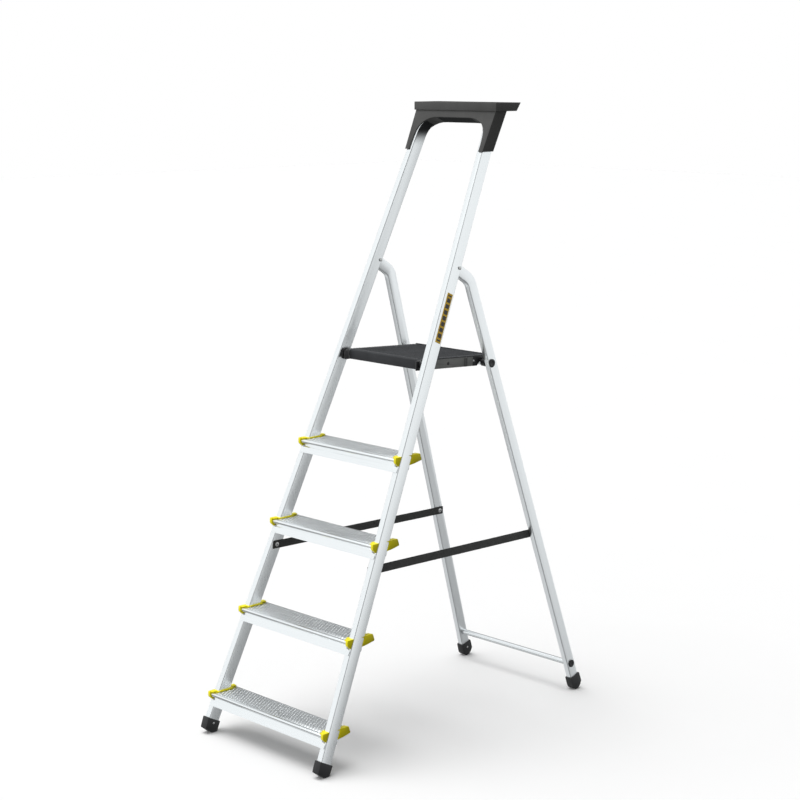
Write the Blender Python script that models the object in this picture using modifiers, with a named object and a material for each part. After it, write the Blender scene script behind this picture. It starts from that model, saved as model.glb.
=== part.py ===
"""Five-level aluminium platform step ladder: front frame with four treads and a tool tray, folding
rear frame, hinged platform that rests on the rear frame's rod, and two webbing straps.

Metres, +Z up, front (climbing side) towards -Y. The front frame's pieces stay still; the rear frame
turns about the pivot bolts and the platform about its two hinge pins.
"""

from math import atan, cos, pi, radians, sin

import bpy
from mathutils import Matrix, Vector

# Driving dimensions
GAP = 0.0003  # assembly gap between touching pieces
Y_SHIFT = 0.5374  # distance from the front face of the stile at the floor to the middle of the footprint

LEAN_F = atan(0.4437)  # lean of the front frame from the vertical
HALF_F = 0.2490  # outer half width of the front frame at the floor
TAPER_F = 0.0620  # narrowing of that half width per metre of height
STILE_W = 0.0210  # front tube, across
STILE_D = 0.0372  # front tube, deep (square to the tube)
STILE_WALL = 0.0013
RUN_Z = 1.6990  # centre of the tube's level run at the top
BEND_R = 0.0605  # centre-line radius of the two upper bends

LEAN_R = atan(0.3179)
HALF_R = 0.2373
TAPER_R = 0.0545
LEG_W = 0.0176
LEG_D = 0.0323
LEG_WALL = 0.0013
LEG_Y0 = 1.0543  # leg centre line at the floor, before Y_SHIFT
PIVOT_Y = 0.6070  # pivot bolt, before Y_SHIFT
PIVOT_Z = 1.2940
LEG_TOP_ANGLE = radians(58)  # direction of the leg's bent top, from the vertical
LEG_TOP_OFFSET = 0.0045  # the bolt sits this far above the middle of the bent top

TREAD_Z = (0.1150, 0.3440, 0.5835, 0.8025)
TREAD_SKIN = 0.0024
RIVET_IN = 0.0032  # the rivets sit this far inside the middle of the stile's front face
NOSE_END = 0.0084  # the nose stops this far short of the outer face, where the end cap takes over

HINGE_Y = 0.4800  # platform pin, before Y_SHIFT
HINGE_Z = 1.0375
DECK_FRONT = 0.4790
DECK_REAR = 0.7510
DECK_Z = 1.0500  # top of the deck at its front edge
DECK_TILT = 0.0500  # fall of the deck towards the rear, per metre
DECK_HALF = 0.1465
DECK_DEEP = 0.0280
ROD_Y = 0.7241
ROD_Z = 1.0184
ROD_R = 0.0085
BAR_Z = 0.0831
BAR_R = 0.0080

TRAY_TOP = 1.7400
TRAY_FRONT = 0.7545
TRAY_REAR = 0.8568
TRAY_HALF = 0.1615

STRAP_Z_FRONT = 0.5110
STRAP_Z_REAR = 0.5020
STRAP_WIDE = 0.0235
STRAP_THICK = 0.0020

TA = sin(LEAN_F) / cos(LEAN_F)
TB = sin(LEAN_R) / cos(LEAN_R)
D_LEVEL = STILE_D / cos(LEAN_F)  # depth of the front tube measured level


def clear_scene():
    for obj in list(bpy.data.objects):
        bpy.data.objects.remove(obj, do_unlink=True)


clear_scene()
LADDER = bpy.data.collections.new("platform_step_ladder")
CUTTERS = bpy.data.collections.new("cutters")
bpy.context.scene.collection.children.link(LADDER)
bpy.context.scene.collection.children.link(CUTTERS)
CUTTERS.hide_render = True


def material(name, colour, roughness, metallic=0.0):
    mat = bpy.data.materials.new(name)
    mat.use_nodes = True
    shader = mat.node_tree.nodes["Principled BSDF"]
    shader.inputs["Base Color"].default_value = (*colour, 1.0)
    shader.inputs["Roughness"].default_value = roughness
    shader.inputs["Metallic"].default_value = metallic
    mat.diffuse_color = (*colour, 1.0)
    return mat


ALUMINIUM = material("aluminium_tube", (0.80, 0.81, 0.82), 0.32, 1.0)
TREAD_ALU = material("aluminium_tread", (0.72, 0.73, 0.74), 0.36, 1.0)
YELLOW = material("yellow_plastic", (0.78, 0.62, 0.02), 0.45)
RUBBER = material("black_rubber", (0.020, 0.021, 0.022), 0.70)
BLACK = material("black_plastic", (0.025, 0.026, 0.027), 0.50)
TRAY_GREY = material("tray_grey_plastic", (0.10, 0.10, 0.10), 0.50)
DECK_BLACK = material("deck_black", (0.040, 0.042, 0.045), 0.55)
PLATE_GREY = material("side_plate_grey", (0.115, 0.118, 0.115), 0.50)
STEEL = material("steel", (0.60, 0.60, 0.59), 0.30, 1.0)
WEBBING = material("webbing", (0.022, 0.022, 0.023), 0.85)
LABEL = material("label", (0.80, 0.60, 0.05), 0.50)


# ---------- placing ----------
def half_front(z):
    return HALF_F - TAPER_F * z


def half_rear(z):
    return HALF_R - TAPER_R * z


def stile_face_y(z):
    """The front face of the front tube at this height."""
    return TA * z - Y_SHIFT


def basis(across, deep, along, origin):
    across, deep, along = across.normalized(), deep.normalized(), along.normalized()
    m = Matrix((across, deep, along)).transposed().to_4x4()
    m.translation = origin
    return m


def stile_frame(side, z):
    """Axes of the front tube at this height: X across, Y deep, Z along."""
    along = Vector((-side * TAPER_F, TA, 1.0))
    deep = Vector((0.0, cos(LEAN_F), -sin(LEAN_F)))
    origin = Vector((side * (half_front(z) - STILE_W / 2), stile_face_y(z) + D_LEVEL / 2, z))
    return basis(deep.cross(along), deep, along, origin)


def leg_frame(side, z):
    """Axes of the straight rear leg at this height."""
    along = Vector((-side * TAPER_R, -TB, 1.0))
    deep = Vector((0.0, cos(LEAN_R), sin(LEAN_R)))
    origin = Vector((side * (half_rear(z) - LEG_W / 2), LEG_Y0 - Y_SHIFT - TB * z, z))
    return basis(deep.cross(along), deep, along, origin)


def platform_frame():
    """Axes of the platform: Y towards its rear along the deck, Z out of the deck, origin on the pins."""
    tilt = atan(DECK_TILT)
    deep = Vector((0.0, cos(tilt), -sin(tilt)))
    up = Vector((0.0, sin(tilt), cos(tilt)))
    return basis(Vector((1.0, 0.0, 0.0)), deep, up, Vector((0.0, HINGE_Y - Y_SHIFT, HINGE_Z)))


# ---------- shaping ----------
def add_mesh_object(name, mesh, mat, collection=None):
    obj = bpy.data.objects.new(name, mesh)
    (collection or LADDER).objects.link(obj)
    if mat:
        mesh.materials.clear()
        mesh.materials.append(mat)
    return obj


def evaluated_mesh(obj):
    graph = bpy.context.evaluated_depsgraph_get()
    graph.update()
    return bpy.data.meshes.new_from_object(obj.evaluated_get(graph))


def weld(mesh, dist=0.00002):
    import bmesh

    bm = bmesh.new()
    bm.from_mesh(mesh)
    bmesh.ops.remove_doubles(bm, verts=bm.verts, dist=dist)
    bmesh.ops.recalc_face_normals(bm, faces=bm.faces)
    bm.to_mesh(mesh)
    bm.free()


def curve_object(name, points, closed, z_extrude=0.0):
    curve = bpy.data.curves.new(name, "CURVE")
    curve.dimensions = "2D"
    spline = curve.splines.new("POLY")
    spline.points.add(len(points) - 1)
    for p, (x, y) in zip(spline.points, points):
        p.co = (x, y, 0.0, 1.0)
    spline.use_cyclic_u = closed
    if z_extrude:
        curve.fill_mode = "BOTH"
        curve.extrude = z_extrude
    obj = bpy.data.objects.new(name, curve)
    CUTTERS.objects.link(obj)
    return obj


def prism(name, outline, length, matrix, mat, collection=None):
    """A flat outline given in the matrix's local Y-Z plane, extruded by length along its X."""
    guide = curve_object(name + "_outline", outline, True, length / 2)
    mesh = evaluated_mesh(guide)
    bpy.data.objects.remove(guide, do_unlink=True)
    # The curve's X, Y and Z become the local Y, Z and X.
    mesh.transform(matrix @ Matrix(((0, 0, 1, 0), (1, 0, 0, 0), (0, 1, 0, 0), (0, 0, 0, 1))))
    weld(mesh)
    return add_mesh_object(name, mesh, mat, collection)


def box(name, size, matrix, mat, collection=None):
    x, y, z = (s / 2 for s in size)
    return prism(name, [(-y, -z), (y, -z), (y, z), (-y, z)], 2 * x, matrix, mat, collection)


def circle(radius, count, cx=0.0, cy=0.0):
    return [(cx + radius * cos(2 * pi * i / count), cy + radius * sin(2 * pi * i / count))
            for i in range(count)]


def cylinder(name, radius, length, centre, mat, collection=None, count=24, frame=None):
    """A cylinder along X, or along the frame's X."""
    m = Matrix.Translation(centre) @ (frame.to_3x3().to_4x4() if frame else Matrix())
    obj = prism(name, circle(radius, count), length, m, mat, collection)
    shade_round(obj)
    return obj


def shade_round(obj, angle=35.0):
    obj.data.shade_smooth()
    sharp = [e for e in obj.data.edges]
    import bmesh

    bm = bmesh.new()
    bm.from_mesh(obj.data)
    for edge in bm.edges:
        edge.smooth = len(edge.link_faces) == 2 and edge.calc_face_angle(0.0) < radians(angle)
    bm.to_mesh(obj.data)
    bm.free()
    return sharp and obj


def rounded_rect(w, h, r, steps=3):
    points = []
    for cx, cy, start in ((w / 2 - r, h / 2 - r, 0), (-w / 2 + r, h / 2 - r, 90),
                          (-w / 2 + r, -h / 2 + r, 180), (w / 2 - r, -h / 2 + r, 270)):
        for i in range(steps + 1):
            a = radians(start + 90 * i / steps)
            points.append((cx + r * cos(a), cy + r * sin(a)))
    return points


def swept(name, path, section, matrix, mat, wall=0.0, collection=None):
    """A section swept along a path in the matrix's X-Y plane; a wall makes it an open-ended tube."""
    profile = curve_object(name + "_section", section, True)
    guide = curve_object(name + "_path", path, False)
    guide.data.bevel_mode = "OBJECT"
    guide.data.bevel_object = profile
    guide.data.use_fill_caps = wall == 0.0
    mesh = evaluated_mesh(guide)
    for helper in (guide, profile):
        bpy.data.objects.remove(helper, do_unlink=True)
    mesh.transform(matrix)
    weld(mesh)
    obj = add_mesh_object(name, mesh, mat, collection)
    if wall:
        solid = obj.modifiers.new("wall", "SOLIDIFY")
        solid.thickness = wall
        solid.offset = -1.0
        solid.use_even_offset = True
    shade_round(obj)
    return obj


def boolean(obj, other, operation="DIFFERENCE"):
    mod = obj.modifiers.new(f"{operation.lower()}_{other.name}", "BOOLEAN")
    mod.operation = operation
    mod.object = other
    mod.solver = "EXACT"
    other.display_type = "WIRE"
    return mod


def bake(obj):
    """Turns the modifiers so far into the mesh, so that later cutters work on a plain solid."""
    mesh = evaluated_mesh(obj)
    mats = [m for m in obj.data.materials]
    obj.modifiers.clear()
    obj.data = mesh
    mesh.materials.clear()
    for m in mats:
        mesh.materials.append(m)
    return obj


def soften(obj, width, segments=2, angle=40.0):
    bevel = obj.modifiers.new("edges", "BEVEL")
    bevel.width = width
    bevel.segments = segments
    bevel.limit_method = "ANGLE"
    bevel.angle_limit = radians(angle)
    bevel.harden_normals = False
    return obj


# ---------- front frame ----------
def arc(cx, cy, r, a0, a1, steps):
    return [(cx + r * cos(a0 + (a1 - a0) * i / steps), cy + r * sin(a0 + (a1 - a0) * i / steps))
            for i in range(steps + 1)]


def front_path(foot_z=0.010):
    """Centre line of the front tube in its leaning plane: X across, Y along the lean."""
    slope = TAPER_F * cos(LEAN_F)
    turn = pi / 2 - atan(slope)
    v_run = RUN_Z / cos(LEAN_F)
    v_foot = foot_z / cos(LEAN_F)
    half = HALF_F - STILE_W / 2
    # The bend's centre: level with the run less the radius, and one radius inside the sloping side.
    cy = v_run - BEND_R
    cx = half - slope * cy - BEND_R / cos(atan(slope))
    right = [(half - slope * v_foot, v_foot)]
    right += arc(cx, cy, BEND_R, atan(slope), atan(slope) + turn, 8)
    return right + [(-x, y) for x, y in reversed(right)]


def front_plane():
    """Local X across, Y along the lean, Z square to the plane (towards the front and up)."""
    m = basis(Vector((1, 0, 0)), Vector((0, sin(LEAN_F), cos(LEAN_F))),
              Vector((0, -cos(LEAN_F), sin(LEAN_F))), Vector((0, D_LEVEL / 2 - Y_SHIFT, 0)))
    return m


def build_front_tube():
    section = rounded_rect(STILE_W, STILE_D, 0.0035)
    tube = swept("front_frame_tube", front_path(), section, front_plane(), ALUMINIUM, STILE_WALL)
    bake(tube)
    for side, tag in ((-1, "left"), (1, "right")):
        m = stile_frame(side, PIVOT_Z)
        # Slot in the rear wall that lets the bent leg top into the tube.
        at = m @ Matrix.Translation((0, STILE_D / 2, 0))
        slot = box(f"slot_{tag}", (STILE_W - 2 * STILE_WALL - 0.0001, 0.012, 0.064),
                   at @ Matrix.Translation((0, 0, -0.0105)), None, CUTTERS)
        bolt = cylinder(f"bolt_bore_{tag}", 0.0035, 0.05, pivot_point(side), None, CUTTERS)
        for cutter in (slot, bolt):
            boolean(tube, cutter)
    bake(tube)
    shade_round(tube)
    return tube


def pivot_point(side):
    """The bolt lies behind the tube's centre line, so the centre line beside it is a little higher up."""
    behind = PIVOT_Y - TA * PIVOT_Z - D_LEVEL / 2
    level = PIVOT_Z + behind * sin(LEAN_F) * cos(LEAN_F)
    return Vector((side * (half_front(level) - STILE_W / 2), PIVOT_Y - Y_SHIFT, PIVOT_Z))


def stile_cutter(name, side, z, grow=GAP, length=0.12):
    """A solid a little larger than the tube, for notching what fits around it."""
    return box(name, (STILE_W + 2 * grow, STILE_D + 2 * grow, length), stile_frame(side, z),
               None, CUTTERS)


def tread_profile():
    """Section of the tread extrusion: Y from the stile's front face at the top skin, Z from that skin."""
    gap = 0.0005

    def face(dz, off):
        return TA * dz + off

    t, low = TREAD_SKIN, -0.0380
    back = D_LEVEL + gap
    return [
        (0.0665, 0.0), (-0.0155, 0.0), (-0.0185, -0.0011), (-0.0203, -0.0036), (-0.0205, -0.0082),
        (-0.0192, -0.0106), (-0.0085, -0.0112), (face(-0.0132, -0.0026), -0.0132),
        (face(low, -0.0026), low), (face(low, -gap), low), (face(-t, -gap), -t),
        (face(-t, back), -t), (face(-0.0372, back), -0.0372), (face(-0.0372, back + 0.0022), -0.0372),
        (face(-t, back + 0.0022), -t), (0.0645, -t), (0.0645, -0.0135), (0.0665, -0.0135),
    ]


def build_tread(number, z):
    origin = Matrix.Translation((0.0, stile_face_y(z), z))
    half = half_front(z)
    tread = prism(f"tread_{number}", tread_profile(), 2 * (half - 0.0012), origin, TREAD_ALU)
    for side, tag in ((-1, "left"), (1, "right")):
        boolean(tread, stile_cutter(f"notch_{number}_{tag}", side, z))
        # Room for the end cap outside the nose line.
        cut = box(f"cap_room_{number}_{tag}", (0.05, 0.12, 0.0500),
                  origin @ Matrix.Translation((side * (half - NOSE_END + 0.025), 0.024, 0.0008)),
                  None, CUTTERS)
        boolean(tread, cut)
        m = stile_frame(side, z - 0.0285)
        bore = cylinder(f"rivet_bore_{number}_{tag}", 0.0022, 0.03,
                        m @ Vector((-side * RIVET_IN, -STILE_D / 2, 0)), None, CUTTERS, 12, turned(m))
        boolean(tread, bore)
    bake(tread)
    return tread


def turned(m):
    """The frame with its X axis turned to the depth direction, for pins driven from the front."""
    return m @ Matrix.Rotation(pi / 2, 4, "Z")


def build_cap(number, side, tag, z):
    """Yellow end cap: a front and a rear block outside the tread's ends, joined by a low collar."""
    origin = Matrix.Translation((0.0, stile_face_y(z), z))
    half = half_front(z)
    outline = [(-0.0210, 0.0030), (-0.0224, -0.0040), (-0.0216, -0.0122), (-0.0090, -0.0235),
               (0.0330, -0.0235), (0.0480, -0.0218), (0.0735, -0.0165), (0.0755, -0.0140),
               (0.0705, 0.0010), (0.0690, 0.0030)]
    inner = half - NOSE_END + GAP
    cap = prism(f"tread_cap_{tag}_{number}", outline, half - inner,
                origin @ Matrix.Translation((side * (half + inner) / 2, 0, 0)), YELLOW)
    # Collar on the tread's skin: wide over the nose, narrow beside the stile.
    wide = half - 0.0158
    lip = [(-0.0190, GAP), (-0.0190, 0.0030), (0.0672, 0.0030), (0.0672, GAP)]
    narrow = [(-0.0050, GAP), (-0.0050, 0.0030), (D_LEVEL + 0.0055, 0.0030), (D_LEVEL + 0.0055, GAP)]
    far = half - STILE_W - 0.0038
    for name, shape, low in (("lip", lip, wide), ("collar", narrow, far)):
        piece = prism(f"{name}_{number}_{tag}", shape, half - 0.001 - low,
                      origin @ Matrix.Translation((side * (half - 0.001 + low) / 2, 0, 0)),
                      None, CUTTERS)
        boolean(cap, piece, "UNION")
    boolean(cap, stile_cutter(f"cap_notch_{number}_{tag}", side, z, GAP, 0.08))
    bake(cap)
    return cap


def build_rivet(name, point, frame, radius=0.0034, shank=0.0019, deep=0.0012, mat=STEEL, head=0.0012):
    """A rivet driven along the frame's X: head on the +X side of the point."""
    m = Matrix.Translation(point) @ frame.to_3x3().to_4x4()
    outline = [(0, -deep), (shank, -deep), (shank, 0), (radius, 0), (radius * 0.92, head * 0.55),
               (radius * 0.6, head * 0.9), (0, head)]
    curve = bpy.data.meshes.new(name)
    curve.from_pydata([(0, r, h) for r, h in outline], [(i, i + 1) for i in range(6)], [])
    obj = add_mesh_object(name, curve, mat)
    screw = obj.modifiers.new("turn", "SCREW")
    screw.axis = "Z"
    screw.steps = screw.render_steps = 16
    screw.use_merge_vertices = True
    screw.merge_threshold = 0.00001
    bake(obj)
    # The turned body's Z becomes the frame's X.
    obj.data.transform(m @ Matrix.Rotation(pi / 2, 4, "Y"))
    weld(obj.data)
    shade_round(obj)
    return obj


def build_tread_rivet(number, side, tag, z):
    m = stile_frame(side, z - 0.0285)
    face = STILE_D / 2 + (0.0026 * cos(LEAN_F)) + 0.00005
    point = m @ Vector((-side * RIVET_IN, -face, 0))
    return build_rivet(f"tread_rivet_{tag}_{number}", point, m @ Matrix.Rotation(-pi / 2, 4, "Z"))


def build_front_foot(side, tag):
    """Rubber boot on the stile's end: chamfered at the front, flat on the floor behind."""
    z = 0.030
    m = stile_frame(side, z)
    y0, y1 = stile_face_y(0.0) - 0.0055, stile_face_y(0.0) + D_LEVEL + 0.0045
    outline = []
    for y, h in ((y0 + TA * 0.0480, 0.0480), (y1 + TA * 0.0270, 0.0270)):
        outline.append((y, h))
    outline += [(y1 + TA * 0.0, 0.0), (y0 + 0.0330, 0.0), (y0 + TA * 0.0175 + 0.003, 0.0175)]
    mid = half_front(z) - STILE_W / 2
    foot = prism(f"front_foot_{tag}", outline, STILE_W + 0.0044,
                 Matrix.Translation((side * mid, 0, 0)), RUBBER)
    soften(foot, 0.0020, 2)
    bake(foot)
    socket = box(f"foot_socket_{tag}", (STILE_W + 2 * GAP, STILE_D + 2 * GAP, 0.08),
                 m @ Matrix.Translation((0, 0, -0.021 / cos(LEAN_F) + 0.04)), None, CUTTERS)
    boolean(foot, socket)
    bake(foot)
    return foot


def build_tray():
    """Grey moulding over the top bend: slab with a recess, and a skirt down both stiles."""
    y0, y1 = TRAY_FRONT - Y_SHIFT, TRAY_REAR - Y_SHIFT
    slab = [(y0, 1.7165), (y0, TRAY_TOP), (y1, TRAY_TOP), (y1 - 0.0165, 1.7165)]
    tray = prism("tool_tray", slab, 2 * TRAY_HALF, Matrix(), TRAY_GREY)
    soften(tray, 0.0016, 2)
    bake(tray)
    plane = front_plane()
    front = STILE_D / 2 + 0.0030

    def along(z):
        """Distance along the lean of a point at this height on the skirt's front face."""
        return (z - front * sin(LEAN_F)) / cos(LEAN_F)

    arch = [(0.1370, 1.5900), (0.1370, 1.6065), (0.1368, 1.6250), (0.1352, 1.6450), (0.1325, 1.6600),
            (0.1270, 1.6715), (0.1170, 1.6820), (0.1050, 1.6890), (0.0910, 1.6945), (0.0760, 1.6975),
            (0.0600, 1.6982)]
    skirt = [(-0.1521, along(1.59)), (-0.1580, along(1.735)), (0.1580, along(1.735)),
             (0.1521, along(1.59))]
    skirt += [(x, along(z)) for x, z in arch] + [(-x, along(z)) for x, z in reversed(arch)]
    turn = plane @ Matrix(((0, 1, 0, 0), (0, 0, 1, 0), (1, 0, 0, 0), (0, 0, 0, 1)))
    block = prism("tray_skirt", skirt, front + STILE_D / 2,
                  turn @ Matrix.Translation(((front - STILE_D / 2) / 2, 0, 0)), None, CUTTERS)
    boolean(tray, block, "UNION")
    # The skirt's lower ends are cut level.
    level = box("tray_skirt_end", (0.4, 0.2, 0.06), Matrix.Translation((0, 0.20, 1.6065 - 0.03)),
                None, CUTTERS)
    boolean(tray, level)
    bake(tray)
    room = swept("tray_tube_room", front_path(1.50), rounded_rect(STILE_W + 2 * GAP,
                 STILE_D + 2 * GAP, 0.0036), plane, None, 0.0, CUTTERS)
    boolean(tray, room)
    recess = box("tray_recess", (2 * TRAY_HALF - 0.016, y1 - y0 - 0.030, 0.020),
                 Matrix.Translation((0, (y0 + y1) / 2 - 0.002, TRAY_TOP + 0.0005)), None, CUTTERS)
    soften(recess, 0.004, 2)
    boolean(tray, recess)
    bake(tray)
    return tray


# ---------- rear frame ----------
def leg_path():
    """Centre line of a rear leg in the side plane: (y, z) from the foot up to inside the stile."""
    up = (-sin(LEAN_R), cos(LEAN_R))
    top = (-sin(LEG_TOP_ANGLE), cos(LEG_TOP_ANGLE))
    # A point of the bent top's centre line, square below the bolt.
    px = PIVOT_Y - Y_SHIFT - cos(LEG_TOP_ANGLE) * LEG_TOP_OFFSET
    pz = PIVOT_Z - sin(LEG_TOP_ANGLE) * LEG_TOP_OFFSET
    y0 = LEG_Y0 - Y_SHIFT
    # Crossing of the straight leg's line with the bent top's line.
    s = ((px - y0) * top[1] - pz * top[0]) / (up[0] * top[1] - up[1] * top[0])
    corner = (y0 + up[0] * s, up[1] * s)
    radius = 0.045
    turn = LEG_TOP_ANGLE - LEAN_R
    back = radius * sin(turn / 2) / cos(turn / 2)
    start = (corner[0] - up[0] * back, corner[1] - up[1] * back)
    centre = (start[0] - cos(LEAN_R) * radius, start[1] - sin(LEAN_R) * radius)
    bend = []
    for i in range(9):
        a = LEAN_R + turn * i / 8
        bend.append((centre[0] + cos(a) * radius, centre[1] + sin(a) * radius))
    foot_z = 0.010
    foot = (y0 - TB * foot_z, foot_z)
    end = (px + top[0] * 0.0085, pz + top[1] * 0.0085)
    return [foot] + bend + [end]


def build_leg(side, tag):
    angle = atan(TAPER_R)
    # The side plane stands on the leg's centre line and leans inwards with the taper.
    plane = basis(Vector((0, 1, 0)), Vector((-side * sin(angle), 0, cos(angle))),
                  Vector((cos(angle), 0, side * sin(angle))),
                  Vector((side * (HALF_R - LEG_W / 2), 0, 0)))
    leg = swept(f"rear_leg_{tag}", leg_path(), rounded_rect(LEG_D, LEG_W, 0.0030), plane,
                ALUMINIUM, LEG_WALL)
    bake(leg)
    bolt = cylinder(f"leg_bore_{tag}", 0.0035, 0.05, pivot_point(side), None, CUTTERS)
    rod = cylinder(f"leg_rod_bore_{tag}", ROD_R + GAP, 0.04, rod_point(side), None, CUTTERS)
    bar = cylinder(f"leg_bar_bore_{tag}", BAR_R + GAP, 0.04, bar_point(side), None, CUTTERS)
    for cutter in (bolt, rod, bar):
        boolean(leg, cutter)
    bake(leg)
    shade_round(leg)
    return leg


def rod_point(side):
    return Vector((side * (half_rear(ROD_Z) - LEG_W / 2), ROD_Y - Y_SHIFT, ROD_Z))


def bar_point(side):
    return Vector((side * (half_rear(BAR_Z) - LEG_W / 2), LEG_Y0 - Y_SHIFT - TB * BAR_Z, BAR_Z))


def build_bar(name, radius, half, y, z):
    return cylinder(name, radius, 2 * half, Vector((0, y, z)), ALUMINIUM)


def build_plug(name, side, point, radius, half):
    """Black end plug: a domed head outside the leg with a short spigot into the bar's bore."""
    centre = Vector((side * (half + 0.0014), point.y, point.z))
    plug = cylinder(name, radius, 0.0022, centre, BLACK)
    soften(plug, 0.0008, 2)
    bake(plug)
    shade_round(plug)
    return plug


def build_rear_foot(side, tag):
    """Rubber boot square to the leg with a rounded sole."""
    m = leg_frame(side, 0.0)
    y_mid, reach = 0.0, LEG_D / 2 + 0.0032
    top = 0.0440
    outline = [(-reach, top), (-reach, 0.0150), (-reach + 0.003, 0.0080), (-0.0100, 0.0022),
               (-0.0020, 0.0010), (0.0060, 0.0022), (0.0120, 0.0060), (reach + 0.0012, 0.0160),
               (reach, top)]
    foot = prism(f"rear_foot_{tag}", [(y + y_mid, z) for y, z in outline], LEG_W + 0.0066,
                 m, RUBBER)
    soften(foot, 0.0020, 2)
    bake(foot)
    low = min(v.co.z for v in foot.data.vertices)
    foot.data.transform(Matrix.Translation((0, 0, -low)))
    socket = box(f"rear_foot_socket_{tag}", (LEG_W + 2 * GAP, LEG_D + 2 * GAP, 0.08),
                 m @ Matrix.Translation((0, 0, 0.0095 + 0.04)), None, CUTTERS)
    boolean(foot, socket)
    bake(foot)
    return foot


# ---------- platform ----------
def build_deck():
    """Folded black deck: top skin, deep front fascia and a short rear lip."""
    m = platform_frame()
    y0 = DECK_FRONT - HINGE_Y
    y1 = DECK_REAR - HINGE_Y
    top = DECK_Z - HINGE_Z
    t = 0.0022
    outline = [(y0, top - DECK_DEEP), (y0, top - 0.003), (y0 + 0.003, top), (y1 - 0.003, top),
               (y1, top - 0.003), (y1, top - 0.0105), (y1 - t, top - 0.0105), (y1 - t, top - t),
               (y0 + t, top - t), (y0 + t, top - DECK_DEEP)]
    deck = prism("platform_deck", outline, 2 * DECK_HALF, m, DECK_BLACK)
    for side, tag in ((-1, "left"), (1, "right")):
        # Below the skin the sides are cut back, so that the side plates fit under it.
        x = 0.1414
        cut = box(f"deck_side_{tag}", (0.02, 0.40, 0.06),
                  m @ Matrix.Translation((side * (x + 0.01), 0.12, top - t - 0.03)), None, CUTTERS)
        boolean(deck, cut)
    bake(deck)
    return deck


def build_side_plate(side, tag):
    """Grey plate under the deck's edge, from an ear in front of the deck back to the hook."""
    m = platform_frame()
    top = DECK_Z - HINGE_Z - 0.0022 - GAP
    low = DECK_Z - HINGE_Z - 0.0290
    y1 = 0.2070
    outline = [(-0.0150, -0.0135), (-0.0155, 0.0060), (-0.0125, top), (y1, top), (y1, low),
               (-0.0120, low)]
    plate = prism(f"side_plate_{tag}", outline, 0.0030,
                  m @ Matrix.Translation((side * 0.1437, 0, 0)), PLATE_GREY)
    pin = cylinder(f"side_plate_bore_{tag}", 0.0053, 0.02,
                   Vector((side * 0.1437, HINGE_Y - Y_SHIFT, HINGE_Z)), None, CUTTERS)
    boolean(plate, pin)
    bake(plate)
    return plate


def build_hook(side, tag):
    """Black hook at the deck's rear corner: its saddle sits on the platform rod."""
    m = platform_frame()
    rod = m.inverted() @ Vector((0, ROD_Y - Y_SHIFT, ROD_Z))
    top = DECK_Z - HINGE_Z - 0.0022 - GAP
    low = DECK_Z - HINGE_Z - 0.0290
    r = ROD_R + 0.0005
    cy, cz = rod.y, rod.z
    # The front wall flares at 45 degrees, because the rod leaves downwards and forwards.
    saddle = [(cy - 1.366 * r - (cz - low), low)]
    saddle += [(cy + r * cos(radians(a)), cz + r * sin(radians(a))) for a in range(150, -1, -15)]
    saddle += [(cy + r, cz - 0.0050)]
    outline = [(0.2073, low), (0.2073, top), (0.2573, top), (0.2573, cz - 0.0050)]
    outline += list(reversed(saddle))
    hook = prism(f"platform_hook_{tag}", outline, 0.0060,
                 m @ Matrix.Translation((side * 0.1430, 0, 0)), BLACK)
    return hook


def build_bracket(side, tag):
    """Hinge bracket on the stile's inner face, beside the deck's front corner."""
    inner = half_front(HINGE_Z) - STILE_W
    y = HINGE_Y - Y_SHIFT
    outline = [(y - 0.0070, 1.0200), (y - 0.0095, 1.0240), (y - 0.0095, 1.0450), (y - 0.0065, 1.0500),
               (y + 0.0060, 1.0510), (y + 0.0125, 1.0470), (y + 0.0125, 1.0250), (y + 0.0090, 1.0200)]
    lean = Matrix.Rotation(-side * atan(TAPER_F), 4, "Y")
    place = Matrix.Translation((side * (inner - GAP - 0.0024), 0, HINGE_Z)) @ lean
    bracket = prism(f"platform_bracket_{tag}", [(py, pz - HINGE_Z) for py, pz in outline], 0.0040,
                    place, BLACK)
    bore = cylinder(f"bracket_bore_{tag}", 0.0053, 0.04,
                    Vector((side * 0.162, HINGE_Y - Y_SHIFT, HINGE_Z)), None, CUTTERS)
    boolean(bracket, bore)
    bake(bracket)
    return bracket


def build_hinge_pin(side, tag):
    """Pin from the side plate through the bracket, with a collar between them."""
    inner = half_front(HINGE_Z) - STILE_W - 0.0008
    a, b = 0.1420, inner
    pin = cylinder(f"platform_pin_{tag}", 0.0050, b - a,
                   Vector((side * (a + b) / 2, HINGE_Y - Y_SHIFT, HINGE_Z)), BLACK)
    collar = cylinder(f"pin_collar_{tag}", 0.0085, 0.0100,
                      Vector((side * 0.1508, HINGE_Y - Y_SHIFT, HINGE_Z)), None, CUTTERS)
    boolean(pin, collar, "UNION")
    bake(pin)
    shade_round(pin)
    return pin


def build_pivot_bolt(side, tag):
    """Pivot bolt through both walls of the stile and of the leg inside it."""
    at = pivot_point(side)
    bolt = cylinder(f"pivot_bolt_{tag}", 0.0032, STILE_W + 0.0030, at, STEEL, None, 16)
    for end in (-1, 1):
        head = cylinder(f"bolt_head_{tag}_{end}", 0.0048, 0.0018,
                        at + Vector((end * (STILE_W / 2 + 0.0015), 0, 0)), None, CUTTERS)
        soften(head, 0.0006, 2)
        boolean(bolt, head, "UNION")
    bake(bolt)
    shade_round(bolt)
    return bolt


# ---------- straps, label ----------
def strap_ends(side):
    m = stile_frame(side, STRAP_Z_FRONT)
    front = m @ Vector((-side * (STILE_W / 2 + GAP + STRAP_THICK / 2), 0.0, 0))
    n = leg_frame(side, STRAP_Z_REAR)
    rear = n @ Vector((-side * (LEG_W / 2 + GAP + STRAP_THICK / 2), 0.0, 0))
    return front, rear


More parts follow.
